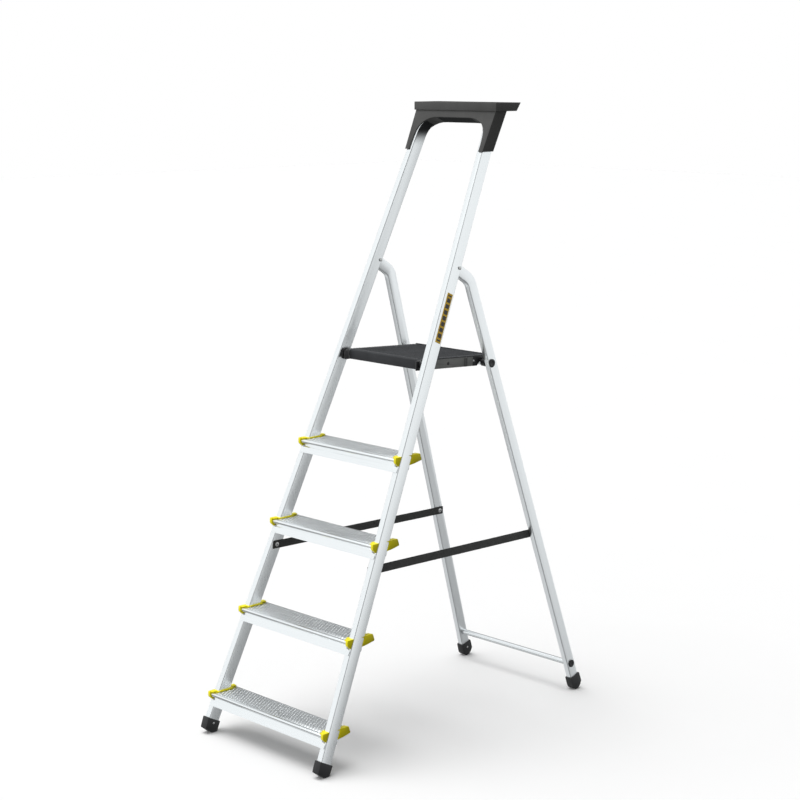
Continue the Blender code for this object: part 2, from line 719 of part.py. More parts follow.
def build_strap(side, tag):
    """Flat webbing strap standing on edge, from the stile's inner face to the leg's."""
    front, rear = strap_ends(side)
    run = (rear - front).normalized()
    up = Vector((-side * 0.058, 0, 1.0))
    up = (up - run * up.dot(run)).normalized()
    out = run.cross(up).normalized()
    m = basis(out, run, up, (front + rear) / 2)
    length = (rear - front).length + 0.026
    strap = box(f"strap_{tag}", (STRAP_THICK, length, STRAP_WIDE), m, WEBBING)
    for name, point in (("front", front), ("rear", rear)):
        bore = cylinder(f"strap_bore_{name}_{tag}", 0.0024, 0.012, point, None, CUTTERS, 12)
        boolean(strap, bore)
    bake(strap)
    return strap


def build_strap_rivet(side, tag, end):
    front, rear = strap_ends(side)
    m = stile_frame(side, STRAP_Z_FRONT) if end == "front" else leg_frame(side, STRAP_Z_REAR)
    point = (front if end == "front" else rear) + m.to_3x3() @ Vector((-side * (STRAP_THICK / 2 + 0.0002), 0, 0))
    frame = m if side < 0 else m @ Matrix.Rotation(pi, 4, "Z")
    return build_rivet(f"strap_rivet_{end}_{tag}", point, frame, 0.0065, 0.0021, 0.0015, STEEL, 0.0016)


def build_foot_rivet(side, tag, which):
    """Small rivet on the inner face of a boot."""
    if which == "front":
        m, wide = stile_frame(side, 0.0280), STILE_W + 0.0044
    else:
        m, wide = leg_frame(side, 0.0280), LEG_W + 0.0066
    point = m @ Vector((-side * (wide / 2 + 0.0006), 0, 0))
    frame = m if side < 0 else m @ Matrix.Rotation(pi, 4, "Z")
    return build_rivet(f"{which}_foot_rivet_{tag}", point, frame, 0.0032, 0.0018, 0.0003)


def build_label():
    """Plain label, with no lettering, on the right stile's outer face."""
    m = stile_frame(1, 1.1625)
    at = m @ Matrix.Translation((STILE_W / 2 + GAP + 0.0002, 0.0020, 0))
    return box("label_right", (0.0004, 0.0205, 0.1420), at, LABEL)


# ---------- assembly ----------
def axis_empty(name, y, z):
    empty = bpy.data.objects.new(name, None)
    empty.empty_display_type = "SINGLE_ARROW"
    empty.location = (0.0, y - Y_SHIFT, z)
    LADDER.objects.link(empty)
    return empty


def hang(objects, empty):
    bpy.context.view_layer.update()
    for obj in objects:
        obj.parent = empty
        obj.matrix_parent_inverse = empty.matrix_world.inverted()


def build_front():
    build_front_tube()
    for number, z in enumerate(TREAD_Z, 1):
        build_tread(number, z)
        for side, tag in ((-1, "left"), (1, "right")):
            build_cap(number, side, tag, z)
            build_tread_rivet(number, side, tag, z)
    for side, tag in ((-1, "left"), (1, "right")):
        build_front_foot(side, tag)
        build_foot_rivet(side, tag, "front")
        build_bracket(side, tag)
        build_hinge_pin(side, tag)
        build_pivot_bolt(side, tag)
        build_strap(side, tag)
        build_strap_rivet(side, tag, "front")
    build_tray()
    build_label()


def build_rear():
    made = []
    rod_half, bar_half = half_rear(ROD_Z) + 0.0007, half_rear(BAR_Z) + 0.0007
    made.append(build_bar("platform_rod", ROD_R, rod_half, ROD_Y - Y_SHIFT, ROD_Z))
    bar = bar_point(1)
    made.append(build_bar("lower_crossbar", BAR_R, bar_half, bar.y, bar.z))
    for side, tag in ((-1, "left"), (1, "right")):
        made.append(build_leg(side, tag))
        made.append(build_plug(f"rod_plug_{tag}", side, rod_point(side), 0.0120, rod_half))
        made.append(build_plug(f"crossbar_plug_{tag}", side, bar, 0.0113, bar_half))
        made.append(build_rear_foot(side, tag))
        made.append(build_foot_rivet(side, tag, "rear"))
        made.append(build_strap_rivet(side, tag, "rear"))
    hang(made, axis_empty("rear_frame_axis", PIVOT_Y, PIVOT_Z))


def build_platform():
    made = [build_deck()]
    for side, tag in ((-1, "left"), (1, "right")):
        made.append(build_side_plate(side, tag))
        made.append(build_hook(side, tag))
    hang(made, axis_empty("platform_axis", HINGE_Y, HINGE_Z))


build_front()
build_rear()
build_platform()
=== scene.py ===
from math import atan, cos, pi, radians, sin

import bmesh
import bpy
from mathutils import Matrix, Vector


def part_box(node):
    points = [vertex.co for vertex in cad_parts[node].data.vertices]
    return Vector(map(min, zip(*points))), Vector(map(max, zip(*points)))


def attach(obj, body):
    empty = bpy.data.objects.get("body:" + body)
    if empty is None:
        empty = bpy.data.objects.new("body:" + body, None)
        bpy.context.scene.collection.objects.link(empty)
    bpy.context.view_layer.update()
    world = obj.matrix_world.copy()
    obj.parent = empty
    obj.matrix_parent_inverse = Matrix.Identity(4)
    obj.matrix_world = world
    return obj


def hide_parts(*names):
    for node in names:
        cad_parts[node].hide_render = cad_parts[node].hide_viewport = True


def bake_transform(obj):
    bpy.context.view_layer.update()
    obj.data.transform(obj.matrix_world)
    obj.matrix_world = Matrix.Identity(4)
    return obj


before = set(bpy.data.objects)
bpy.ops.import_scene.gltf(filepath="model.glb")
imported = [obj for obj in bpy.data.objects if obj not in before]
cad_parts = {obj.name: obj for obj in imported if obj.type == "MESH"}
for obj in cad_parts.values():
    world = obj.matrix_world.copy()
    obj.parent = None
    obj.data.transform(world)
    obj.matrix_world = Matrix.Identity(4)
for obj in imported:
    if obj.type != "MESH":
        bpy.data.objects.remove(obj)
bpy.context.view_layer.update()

# Shared sizes of the ladder, in metres, in the row frame: X across, Y to the rear, Z up.
Y_SHIFT = 0.5374  # front face of a stile at the floor, in front of the middle of the footprint
SLOPE_F, HALF_F, TAPER_F = 0.4437, 0.2490, 0.0620  # front frame: lean, half width, narrowing
SLOPE_R, HALF_R, TAPER_R = 0.3179, 0.2373, 0.0545  # the same for the rear frame
STILE_W, STILE_D = 0.0210, 0.0372
LEG_W = 0.0176
LEG_Y0 = 1.0543  # leg centre line at the floor, before Y_SHIFT
LEAN_F, LEAN_R = atan(SLOPE_F), atan(SLOPE_R)
D_LEVEL = STILE_D / cos(LEAN_F)  # depth of a stile measured level
TREAD_Z = (0.1150, 0.3440, 0.5835, 0.8025)
SIDES = ((-1, "left"), (1, "right"))
GAP = 0.0003  # between touching CAD pieces

# Treads: a field of fine ribs, whose gaps step sideways from row to row
FIELD_FRONT, FIELD_REAR = -0.0125, 0.0634  # from the stile's front face
FIELD_INSET = 0.0060  # from the stile's inner face
RIB_PITCH, RIB_STEP, RIB_GAP, RIB_SHIFT = 0.0042, 0.0107, 0.0030, -0.0025
RIB_SHORTEST = 0.0022
RIB_BASE, RIB_WIDE, RIB_TALL, RIB_SLOPE = 0.0001, 0.0031, 0.0003, 0.0005
FIELD_BASE, FIELD_TALL, FIELD_SLOPE = -0.0002, 0.00032, 0.0003
FIELD_LONGER, FIELD_NARROWER = 0.0020, 0.0008  # than the ribs' area
CAP_RIVET_DROP, CAP_RIVET_IN = 0.0285, 0.0032  # below the tread's top; inside the stile's middle
FASCIA = 0.0026  # from the stile's front face to the front of the tread's fascia
HEAD_CLEAR = 0.00005  # under a rivet's head

# Feet: how much wider than its tube each boot is, the height of its rivet, and the rivet's clearance
FRONT_BOOT, REAR_BOOT = 0.0044, 0.0066
BOOT_RIVET_Z, BOOT_CLEAR = 0.0280, 0.0006

# Platform, measured in deck_frame()
HINGE = Vector((0.0, 0.4800 - Y_SHIFT, 1.0375))
DECK_TILT = atan(0.05)
DECK_TOP = 0.0125 + 0.00002  # just clear of the deck's own top face
DECK_FRONT, DECK_REAR = 0.0040, 0.2660
STUD_PITCH, STUD_ROWS, STUD_R, STUD_TALL = 0.0102, 25, 0.0025, 0.0012
STUD_COLUMNS = (0.1425, 0.1345)
STUD_INSET = 0.004  # the front row, behind DECK_FRONT
DECK_RIB_FIRST, DECK_RIB_PITCH, DECK_RIB_STAGGER = 0.0135, 0.0052, 0.012
DECK_RIB_LONG, DECK_RIB_STEP, DECK_RIB_SHORTEST = 0.0215, 0.0245, 0.002
DECK_RIB_WIDE, DECK_RIB_TALL, DECK_RIB_SLOPE = 0.0030, 0.0008, 0.0005
DECK_RIB_HALF, DECK_RIB_END = 0.128, 0.003  # half the ribs' area across; clear of DECK_REAR
ROD = Vector((0, 0.7241 - Y_SHIFT, 1.0184))
SLEEVE_BORE, SLEEVE_R, SLEEVE_IN, SLEEVE_OUT = 0.0087, 0.0112, 0.1478, 0.1636

# Straps, from the stiles' inner faces to the legs' inner faces
STRAP_Z_FRONT, STRAP_Z_REAR = 0.5110, 0.5020
STRAP_WIDE, STRAP_CAD_THICK, STRAP_THICK = 0.0235, 0.0020, 0.0016
STRAP_PAST_RIVETS = 0.026  # both ends together
STRAP_TAPER = 0.058  # about the mean narrowing of the two frames


# ---------------------------------------------------------------- frames of reference
def basis(across, deep, along, origin):
    across, deep, along = across.normalized(), deep.normalized(), along.normalized()
    m = Matrix((across, deep, along)).transposed().to_4x4()
    m.translation = origin
    return m


def half_front(z):
    return HALF_F - TAPER_F * z


def half_rear(z):
    return HALF_R - TAPER_R * z


def stile_face_y(z):
    return SLOPE_F * z - Y_SHIFT


def stile_frame(side, z):
    """Z along the stile's centre line, Y square to its front face."""
    along = Vector((-side * TAPER_F, SLOPE_F, 1.0))
    deep = Vector((0.0, cos(LEAN_F), -sin(LEAN_F)))
    origin = Vector((side * (half_front(z) - STILE_W / 2), stile_face_y(z) + D_LEVEL / 2, z))
    return basis(deep.cross(along), deep, along, origin)


def leg_frame(side, z):
    """Z along the rear leg's centre line, Y square to its front face."""
    along = Vector((-side * TAPER_R, -SLOPE_R, 1.0))
    deep = Vector((0.0, cos(LEAN_R), sin(LEAN_R)))
    origin = Vector((side * (half_rear(z) - LEG_W / 2), LEG_Y0 - Y_SHIFT - SLOPE_R * z, z))
    return basis(deep.cross(along), deep, along, origin)


def deck_frame():
    """Y along the deck to the rear, Z square to it, from the middle of its two hinge pins."""
    return basis(Vector((1, 0, 0)), Vector((0, cos(DECK_TILT), -sin(DECK_TILT))),
                 Vector((0, sin(DECK_TILT), cos(DECK_TILT))), HINGE)


def facing(point, axis):
    """A frame at the point whose Z runs along the axis."""
    m = axis.to_track_quat("Z", "X").to_matrix().to_4x4()
    m.translation = point
    return m


# ---------------------------------------------------------------- node trees
class Nodes:
    """Shorthand for building one node tree."""

    def __init__(self, tree):
        self.tree = tree
        self.coords = None

    def put(self, socket, value):
        if isinstance(value, bpy.types.NodeSocket):
            self.tree.links.new(value, socket)
        elif socket.type == "RGBA" and len(value) == 3:
            socket.default_value = (*value, 1.0)
        else:
            socket.default_value = value

    def add(self, kind, inputs=None, **settings):
        node = self.tree.nodes.new(kind)
        for key, value in settings.items():
            setattr(node, key, value)
        for key, value in (inputs or {}).items():
            self.put(node.inputs[key], value)
        return node

    def place(self, scale=(1, 1, 1), rotation=(0, 0, 0)):
        if self.coords is None:
            self.coords = self.add("ShaderNodeTexCoord")
        inputs = {"Vector": self.coords.outputs["Object"], "Scale": scale, "Rotation": rotation}
        return self.add("ShaderNodeMapping", inputs).outputs["Vector"]

    def noise(self, scale, detail=3.0, rough=0.5, at=None):
        inputs = {"Vector": at or self.place(), "Scale": scale, "Detail": detail, "Roughness": rough}
        return self.add("ShaderNodeTexNoise", inputs).outputs["Fac"]

    def bands(self, direction, scale, distortion):
        inputs = {"Vector": self.place(), "Scale": scale, "Distortion": distortion, "Detail": 1.0}
        return self.add("ShaderNodeTexWave", inputs, wave_type="BANDS",
                        bands_direction=direction).outputs["Fac"]

    def span(self, value, a, b, low, high, smooth=False):
        """The value's range a to b as low to high, held beyond both ends."""
        inputs = {"Value": value, "From Min": a, "From Max": b, "To Min": low, "To Max": high}
        kind = "SMOOTHSTEP" if smooth else "LINEAR"
        return self.add("ShaderNodeMapRange", inputs, interpolation_type=kind).outputs["Result"]

    def math(self, op, a, b=0.0):
        return self.add("ShaderNodeMath", {0: a, 1: b}, operation=op).outputs[0]

    def weighted(self, *terms):
        """The sum of each value times its weight."""
        products = [self.math("MULTIPLY", value, weight) for value, weight in terms]
        total = products[0]
        for product in products[1:]:
            total = self.math("ADD", total, product)
        return total

    def vector(self, op, a, b=(0, 0, 0), output="Vector"):
        return self.add("ShaderNodeVectorMath", {0: a, 1: b}, operation=op).outputs[output]

    def axes(self, vector):
        """The vector's x, y and z."""
        return self.add("ShaderNodeSeparateXYZ", {0: vector}).outputs[:]

    def mix(self, factor, a, b):
        node = self.add("ShaderNodeMix", data_type="RGBA")
        first, second = [socket for socket in node.inputs if socket.type == "RGBA"]
        self.put(node.inputs[0], factor)
        self.put(first, a)
        self.put(second, b)
        return [socket for socket in node.outputs if socket.type == "RGBA"][0]

    def choose(self, factor, a, b):
        """Mix of two plain numbers."""
        return self.add("ShaderNodeMix", {0: factor, 2: a, 3: b}, data_type="FLOAT").outputs[0]

    def bump(self, height, distance, strength=1.0, normal=None):
        inputs = {"Height": height, "Distance": distance, "Strength": strength}
        if normal:
            inputs["Normal"] = normal
        return self.add("ShaderNodeBump", inputs).outputs["Normal"]


class Material(Nodes):
    """One material's node tree, finished by done()."""

    def __init__(self, name):
        self.mat = bpy.data.materials.new(name)
        self.mat.use_nodes = True
        super().__init__(self.mat.node_tree)
        self.shader = self.tree.nodes["Principled BSDF"]

    def done(self, colour, rough, normal=None, **fixed):
        """The fixed values are the same all over, so they stay on the shader's own sockets."""
        self.put(self.shader.inputs["Base Color"], colour)
        self.put(self.shader.inputs["Roughness"], rough)
        if normal:
            self.put(self.shader.inputs["Normal"], normal)
        for key, value in fixed.items():
            self.shader.inputs[key.replace("_", " ")].default_value = value
        return self.mat


# ---------------------------------------------------------------- materials
def arch_shade(n, colour, roughness):
    """Darkens the tube's inner faces under the tray, where the moulding shades them."""
    level, shade_from, shade_full = 1.600, 1.612, 1.662  # heights
    middle = (0.0, stile_face_y(level) + 0.02, level)  # of the opening below the arch
    surface = n.add("ShaderNodeNewGeometry")
    position = surface.outputs["Position"]
    inward = n.vector("NORMALIZE", n.vector("SUBTRACT", middle, position))
    towards = n.vector("DOT_PRODUCT", inward, surface.outputs["Normal"], output="Value")
    height = n.axes(position)[2]
    amount = n.math("MULTIPLY", n.span(towards, 0.20, 0.50, 0.0, 1.0, True),
                    n.span(height, shade_from, shade_full, 0.0, 0.97, True))
    colour = n.mix(amount, colour, (0.012, 0.012, 0.013))
    return colour, n.math("MAXIMUM", roughness, n.span(amount, 0.0, 1.0, 0.0, 0.7))


def drawn_metal(name, dark, light, rough, stretch, rotation=(0, 0, 0), arch=False):
    """Extruded metal: fine die lines along the length, faint clouding, slight roughness changes.

    The stretch is the lines' noise scale on each axis, low along the lines.
    """
    n = Material(name)
    lines = n.noise(1.0, 2.0, 0.6, n.place(stretch, rotation))
    cloud = n.noise(4.0)
    fine = n.noise(420.0, 2.0)
    shade = n.weighted((lines, 0.65), (cloud, 0.35))
    colour = n.mix(n.span(shade, 0.30, 0.70, 0.0, 1.0), dark, light)
    roughness = n.math("ADD", n.span(lines, 0.25, 0.75, rough - 0.03, rough + 0.04),
                       n.span(cloud, 0.35, 0.70, 0.0, 0.03))
    if arch:
        colour, roughness = arch_shade(n, colour, roughness)
    normal = n.bump(lines, 0.00004, 0.4, n.bump(fine, 0.00001, 0.4))
    return n.done(colour, roughness, normal, Metallic=1.0)


def moulded(name, dark, light, rough, grain=900.0, depth=0.00008, spec=0.5, wear=None):
    """Moulded plastic or rubber: fine grain, faint mottling, lighter wear where asked for."""
    n = Material(name)
    mottle = n.noise(22.0, 5.0, 0.6)
    fine = n.noise(grain, 3.0, 0.6)
    broad = n.noise(5.0, 2.0)
    shade = n.weighted((mottle, 0.7), (fine, 0.3))
    colour = n.mix(n.span(shade, 0.30, 0.70, 0.0, 1.0), dark, light)
    if wear:
        rub = n.noise(60.0, 6.0, 0.7)
        colour = n.mix(n.span(rub, 0.62, 0.80, 0.0, 0.35), colour, wear)
    roughness = n.math("ADD", n.span(fine, 0.3, 0.7, rough - 0.06, rough + 0.06),
                       n.span(broad, 0.3, 0.7, -0.03, 0.04))
    normal = n.bump(fine, depth, 0.6, n.bump(mottle, 0.0003, 0.12))
    return n.done(colour, roughness, normal, Specular_IOR_Level=spec)


def webbing(name):
    """Woven polyester: crossed bands along and across the strap, mottled black, with painted shade in the
    weave's hollows and a painted highlight on its crowns.
    """
    n = Material(name)
    weave = n.math("MULTIPLY", n.bands("Z", 210.0, 0.6), n.bands("Y", 130.0, 0.8))
    mottle = n.noise(160.0, 4.0, 0.65)
    # Darker hollows and lighter crowns of the weave are painted shade and painted highlight; the mottling
    # is the webbing's own tone.
    weave_shade_and_mottle = n.weighted((weave, 0.5), (mottle, 0.5))
    colour = n.mix(n.span(weave_shade_and_mottle, 0.15, 0.70, 0.0, 1.0), (0.008, 0.009, 0.008), (0.040, 0.042, 0.040))
    normal = n.bump(weave, 0.0004, 0.8, n.bump(mottle, 0.0002, 0.3))
    return n.done(colour, n.span(mottle, 0.3, 0.7, 0.55, 0.85), normal, Sheen_Weight=0.25)


def blocks(name):
    """Amber film with a row of plain black blocks: a generic warning pattern with no lettering."""
    pitch, half_wide, half_row = 0.0168, 0.0068, 0.0655
    edge = 0.0005  # softness of the blocks' edges
    n = Material(name)
    low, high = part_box("label_right")
    middle = (Vector(low) + Vector(high)) / 2
    _, y, z = n.axes(n.place())
    y = n.math("SUBTRACT", y, middle.y)
    z = n.math("SUBTRACT", z, middle.z)
    along = n.weighted((y, sin(LEAN_F)), (z, cos(LEAN_F)))
    across = n.weighted((y, cos(LEAN_F)), (z, -sin(LEAN_F)))
    wave = n.math("COSINE", n.math("MULTIPLY", along, 2 * pi / pitch))
    in_width = n.span(n.math("ABSOLUTE", across), half_wide, half_wide + edge, 1.0, 0.0)
    in_row = n.span(n.math("ABSOLUTE", along), half_row, half_row + edge, 1.0, 0.0)
    block = n.math("MULTIPLY", n.span(wave, -0.62, -0.50, 0.0, 1.0), in_width)
    block = n.math("MULTIPLY", block, in_row)
    worn = n.noise(300.0, 4.0, 0.7)
    amber = n.mix(n.span(worn, 0.35, 0.7, 0.0, 1.0), (0.90, 0.54, 0.015), (1.0, 0.66, 0.03))
    colour = n.mix(block, amber, (0.018, 0.014, 0.010))
    return n.done(colour, n.span(worn, 0.3, 0.7, 0.28, 0.42), n.bump(worn, 0.00003, 0.4))


BRIGHT = (0.84, 0.862, 0.872), (0.90, 0.918, 0.925)
UP_THE_TUBE = (700, 700, 9)
NO_DIRECTION = (500, 500, 500)
TUBE = drawn_metal("tube_aluminium", *BRIGHT, 0.27, UP_THE_TUBE, (LEAN_F, 0, 0), arch=True)
LEG = drawn_metal("leg_aluminium", *BRIGHT, 0.30, UP_THE_TUBE, (-LEAN_R, 0, 0))
TREAD = drawn_metal("tread_aluminium", *BRIGHT, 0.16, (7, 800, 800))
RIB = drawn_metal("rib_aluminium", (0.82, 0.84, 0.85), (0.89, 0.91, 0.92), 0.22, (9, 900, 900))
# The field between the ribs is rougher, and its darker colour is painted shade in the gaps.
SHADED_FIELD = drawn_metal("field_aluminium_painted_shade", (0.50, 0.52, 0.53), (0.58, 0.60, 0.61), 0.26, (9, 900, 900))
BAR = drawn_metal("bar_aluminium", (0.74, 0.76, 0.77), (0.84, 0.86, 0.87), 0.20, (7, 700, 700))
STEEL = drawn_metal("plated_steel", (0.42, 0.42, 0.42), (0.62, 0.62, 0.61), 0.26, NO_DIRECTION)
SHINY = drawn_metal("bright_rivet", (0.80, 0.80, 0.80), (0.92, 0.92, 0.92), 0.40, NO_DIRECTION)
# Near-black metal for the strap rivets' holes: painted shade.
RIVET_HOLE_SHADE = drawn_metal("rivet_hole_painted_shade", (0.05, 0.05, 0.05), (0.10, 0.10, 0.10), 0.42, NO_DIRECTION)
YELLOW = moulded("yellow_plastic", (0.84, 0.73, 0.004), (1.0, 0.90, 0.008), 0.42,
                 grain=700, depth=0.00004, spec=0.35)
RUBBER = moulded("black_rubber", (0.007, 0.007, 0.008), (0.018, 0.018, 0.020), 0.52,
                 grain=600, depth=0.0001, wear=(0.05, 0.05, 0.048))
BLACK = moulded("black_plastic", (0.006, 0.006, 0.007), (0.014, 0.014, 0.016), 0.45, grain=800)
TRAY = moulded("tray_plastic", (0.070, 0.070, 0.069), (0.092, 0.092, 0.090), 0.50,
               grain=1200, depth=0.00006, spec=0.15)
DECK = moulded("deck_black", (0.026, 0.027, 0.030), (0.042, 0.044, 0.048), 0.66,
               grain=500, depth=0.00022, spec=0.25, wear=(0.07, 0.072, 0.075))
STUD = moulded("deck_stud", (0.05, 0.052, 0.056), (0.09, 0.093, 0.098), 0.40,
               grain=500, depth=0.0001)
PLATE = moulded("plate_grey", (0.20, 0.205, 0.20), (0.28, 0.285, 0.275), 0.52)
PLATE_END = moulded("plate_end_grey", (0.06, 0.062, 0.06), (0.09, 0.092, 0.09), 0.5)
WEB = webbing("strap_webbing")
LABEL = blocks("label_film")


# ---------------------------------------------------------------- mesh helpers
def link(name, mesh, mat, body, nodes=()):
    """A piece made of the mesh, attached to the body when one is given."""
    obj = bpy.data.objects.new(name, mesh)
    bpy.context.scene.collection.objects.link(obj)
    mesh.materials.append(mat)
    if nodes:
        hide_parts(*nodes)
    if body:
        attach(obj, body)
    return obj


def smooth(bm, angle):
    """Smooth shading, with sharp edges where two faces meet at more than the angle."""
    for face in bm.faces:
        face.smooth = True
    for edge in bm.edges:
        edge.smooth = len(edge.link_faces) == 2 and edge.calc_face_angle(0.0) < radians(angle)


def to_mesh(bm, name, angle=38.0, tidy=True):
    if tidy:
        bmesh.ops.remove_doubles(bm, verts=bm.verts, dist=0.000008)
        bmesh.ops.recalc_face_normals(bm, faces=bm.faces)
    smooth(bm, angle)
    mesh = bpy.data.meshes.new(name)
    bm.to_mesh(mesh)
    bm.free()
    return mesh


def round_edges(obj, width, segments, angle):
    """Rounds the edges sharper than the angle, in the mesh itself."""
    bevel = obj.modifiers.new("edges", "BEVEL")
    bevel.width = width
    bevel.segments = segments
    bevel.limit_method = "ANGLE"
    bevel.angle_limit = radians(angle)
    bevel.use_clamp_overlap = True
    bpy.context.view_layer.update()
    graph = bpy.context.evaluated_depsgraph_get()
    rounded = bpy.data.meshes.new_from_object(obj.evaluated_get(graph))
    obj.modifiers.clear()
    obj.data = rounded
    bm = bmesh.new()
    bm.from_mesh(rounded)
    smooth(bm, 38.0)
    bm.to_mesh(rounded)
    bm.free()


def finer(node, mat, body, width=0.0, segments=2, angle=32.0, name=None):
    """A copy of a CAD node, its edges rounded where a width is given, which stands for the node."""
    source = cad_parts[node]
    bm = bmesh.new()
    bm.from_mesh(source.data)
    bm.transform(source.matrix_world)
    bmesh.ops.remove_doubles(bm, verts=bm.verts, dist=0.00002)
    bmesh.ops.dissolve_limit(bm, angle_limit=radians(0.6), verts=bm.verts, edges=bm.edges)
    obj = link(name or f"{node}_shown", to_mesh(bm, node, tidy=False), mat, None, (node,))
    if width:
        round_edges(obj, width, segments, angle)
    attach(obj, body)
    return obj


def join_rings(bm, a, b):
    """Faces between two closed rings. A ring of one vertex is a point."""
    count = max(len(a), len(b))
    for i in range(count):
        j = (i + 1) % count
        corners = [a[i % len(a)], a[j % len(a)], b[j % len(b)], b[i % len(b)]]
        bm.faces.new(list(dict.fromkeys(corners)))


def circle(bm, m, centre, radius, count):
    x, y, z = centre
    turn = [2 * pi * i / count for i in range(count)]
    return [bm.verts.new(m @ Vector((x + radius * cos(a), y + radius * sin(a), z))) for a in turn]


def turned(name, outline, m, mat, body, nodes=(), count=32):
    """An outline of (radius, height) turned round the frame's Z axis."""
    bm = bmesh.new()
    rings = [circle(bm, m, (0, 0, height), radius, count) if radius else
             [bm.verts.new(m @ Vector((0, 0, height)))] for radius, height in outline]
    for a, b in zip(rings, rings[1:]):
        join_rings(bm, a, b)
    return link(name, to_mesh(bm, name, 34.0), mat, body, nodes)


def scaled(outline, radius, height):
    return [(radius * r, height * h) for r, h in outline]


# A blind rivet's head with its hollow mandrel hole, and a plug's dished end: radius and height,
# as shares of the piece's own radius and height.
RIVET_OUTLINE = ((0, -0.8), (0.45, -0.8), (0.45, 0), (0.96, 0), (1, 0.16), (0.97, 0.42), (0.85, 0.72),
                 (0.66, 0.93), (0.50, 1), (0.40, 0.96), (0.36, 0.60), (0.33, 0.42), (0.14, 0.38),
                 (0, 0.46))
PLUG_OUTLINE = ((0, -1), (0.93, -1), (0.98, -0.6), (1, 0), (0.97, 0.45), (0.86, 0.85), (0.72, 1),
                (0.55, 0.95), (0.46, 0.35), (0.42, 0.05), (0.15, 0), (0, 0.02))


def blind_rivet(name, point, axis, radius, height, mat, body, node):
    """A rivet head on the point, standing out along the axis, which stands for the CAD node."""
    return turned(name, scaled(RIVET_OUTLINE, radius, height), facing(point, axis), mat, body,
                  (node,), count=28)


def tooth(bm, x, y, base, long, wide, tall, slope):
    """A low bar with sloping sides, standing on the base height."""
    corners = ((-1, -1), (1, -1), (1, 1), (-1, 1))
    low = [bm.verts.new((x + sx * long / 2, y + sy * wide / 2, base)) for sx, sy in corners]
    top = [bm.verts.new((x + sx * (long / 2 - slope), y + sy * (wide / 2 - slope), base + tall))
           for sx, sy in corners]
    bm.faces.new(top)
    bm.faces.new(low[::-1])
    join_rings(bm, low, top)


def stud(bm, m, x, y):
    """A low round stud with a domed top, standing on the deck."""
    count = 10
    rings = [circle(bm, m, (x, y, DECK_TOP + STUD_TALL * height), STUD_R * part, count)
             for part, height in ((1.0, 0.0), (0.88, 0.55), (0.5, 0.90))]
    peak = bm.verts.new(m @ Vector((x, y, DECK_TOP + STUD_TALL)))
    bm.faces.new(rings[0][::-1])
    for a, b in zip(rings, rings[1:]):
        join_rings(bm, a, b)
    join_rings(bm, rings[-1], [peak])


def rounded_block(name, m, size, centre, mat, width):
    """A block on the platform, in the frame m, with rounded edges."""
    bm = bmesh.new()
    bmesh.ops.create_cube(bm, size=1.0)
    bmesh.ops.transform(bm, verts=bm.verts, matrix=Matrix.Diagonal((*size, 1.0)))
    bmesh.ops.bevel(bm, geom=list(bm.edges), offset=width, segments=3, profile=0.5, affect="EDGES")
    bmesh.ops.transform(bm, verts=bm.verts, matrix=m @ Matrix.Translation(centre))
    return link(name, to_mesh(bm, name), mat, "platform")


# ---------------------------------------------------------------- front and rear frames
def tubes():
    finer("front_frame_tube", TUBE, "front_frame", name="front_frame_shown")
    for _, tag in SIDES:
        finer(f"rear_leg_{tag}", LEG, "rear_frame")


def rib_field(number, z):
    """Anti-slip ribs on a tread, standing on a thin, rougher field, coloured darker as painted shade
    between the ribs.
    """
    half = half_front(z) - STILE_W - FIELD_INSET
    y0, y1 = stile_face_y(z) + FIELD_FRONT, stile_face_y(z) + FIELD_REAR
    middle = (y0 + y1) / 2
    rows = int((y1 - y0) / RIB_PITCH)
    ribs = bmesh.new()
    for row in range(rows):
        y = middle + (row - (rows - 1) / 2) * RIB_PITCH
        x = -half - RIB_STEP + (row * RIB_SHIFT) % RIB_STEP
        while x < half:
            left, right = max(x, -half), min(x + RIB_STEP - RIB_GAP, half)
            if right - left > RIB_SHORTEST:
                tooth(ribs, (left + right) / 2, y, z + RIB_BASE, right - left,
                      RIB_WIDE, RIB_TALL, RIB_SLOPE)
            x += RIB_STEP
    link(f"tread_ribs_{number}", to_mesh(ribs, f"tread_ribs_{number}", 20.0, tidy=False), RIB,
         "front_frame")
    field = bmesh.new()
    tooth(field, 0.0, middle, z + FIELD_BASE, 2 * half + FIELD_LONGER, y1 - y0 - FIELD_NARROWER,
          FIELD_TALL, FIELD_SLOPE)
    link(f"tread_field_{number}", to_mesh(field, f"tread_field_{number}", 20.0, tidy=False), SHADED_FIELD,
         "front_frame")


def treads():
    for number, z in enumerate(TREAD_Z, 1):
        finer(f"tread_{number}", TREAD, "front_frame", width=0.0004)
        rib_field(number, z)
        for side, tag in SIDES:
            finer(f"tread_cap_{tag}_{number}", YELLOW, "front_frame", width=0.0009)
            m = stile_frame(side, z - CAP_RIVET_DROP)
            face = STILE_D / 2 + FASCIA * cos(LEAN_F) + HEAD_CLEAR
            blind_rivet(f"tread_rivet_{tag}_{number}_shown",
                        m @ Vector((-side * CAP_RIVET_IN, -face, 0)),
                        m.to_3x3() @ Vector((0, -1, 0)), radius=0.0034, height=0.0013, mat=STEEL,
                        body="front_frame", node=f"tread_rivet_{tag}_{number}")


